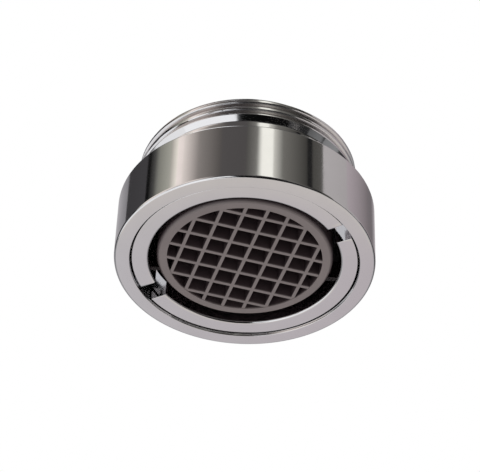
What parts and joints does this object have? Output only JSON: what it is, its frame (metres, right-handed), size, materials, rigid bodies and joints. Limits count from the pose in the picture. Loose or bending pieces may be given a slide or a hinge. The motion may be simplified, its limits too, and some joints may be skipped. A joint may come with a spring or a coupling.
{
  "type": "tap aerator",
  "caption": "Key-operated tap aerator: chromed sleeve that spins freely round a threaded housing with key slots, rubber washer and a plastic cartridge with a deep square outlet lattice.",
  "frame": {"origin": "centre of the outlet rim plane of the outer sleeve", "axes": "+Z along the axis towards the inlet thread, X through the two key slots"},
  "size_m": [0.028, 0.028, 0.014],
  "materials": {
    "chrome": "polished",
    "spring_steel": "satin",
    "grey_plastic": "moulded satin",
    "white_plastic": "moulded satin",
    "black_rubber": "matte"
  },
  "bodies": {
    "housing": {"threaded_housing": "chrome", "snap_ring": "spring_steel", "cartridge_shell": "grey_plastic", "outlet_grille": "grey_plastic", "lower_screen": "grey_plastic", "upper_screen": "grey_plastic", "jet_plate": "white_plastic", "regulator_body": "white_plastic", "regulator_ring": "black_rubber", "inlet_strainer": "white_plastic", "sealing_washer": "black_rubber"},
    "sleeve": {"outer_sleeve": "chrome"}
  },
  "joints": [
    {"name": "sleeve_spin", "type": "hinge", "parent": "housing", "child": "sleeve", "pos_m": [0, 0, 0.0038], "axis": [0, 0, 1], "continuous": true}
  ]
}
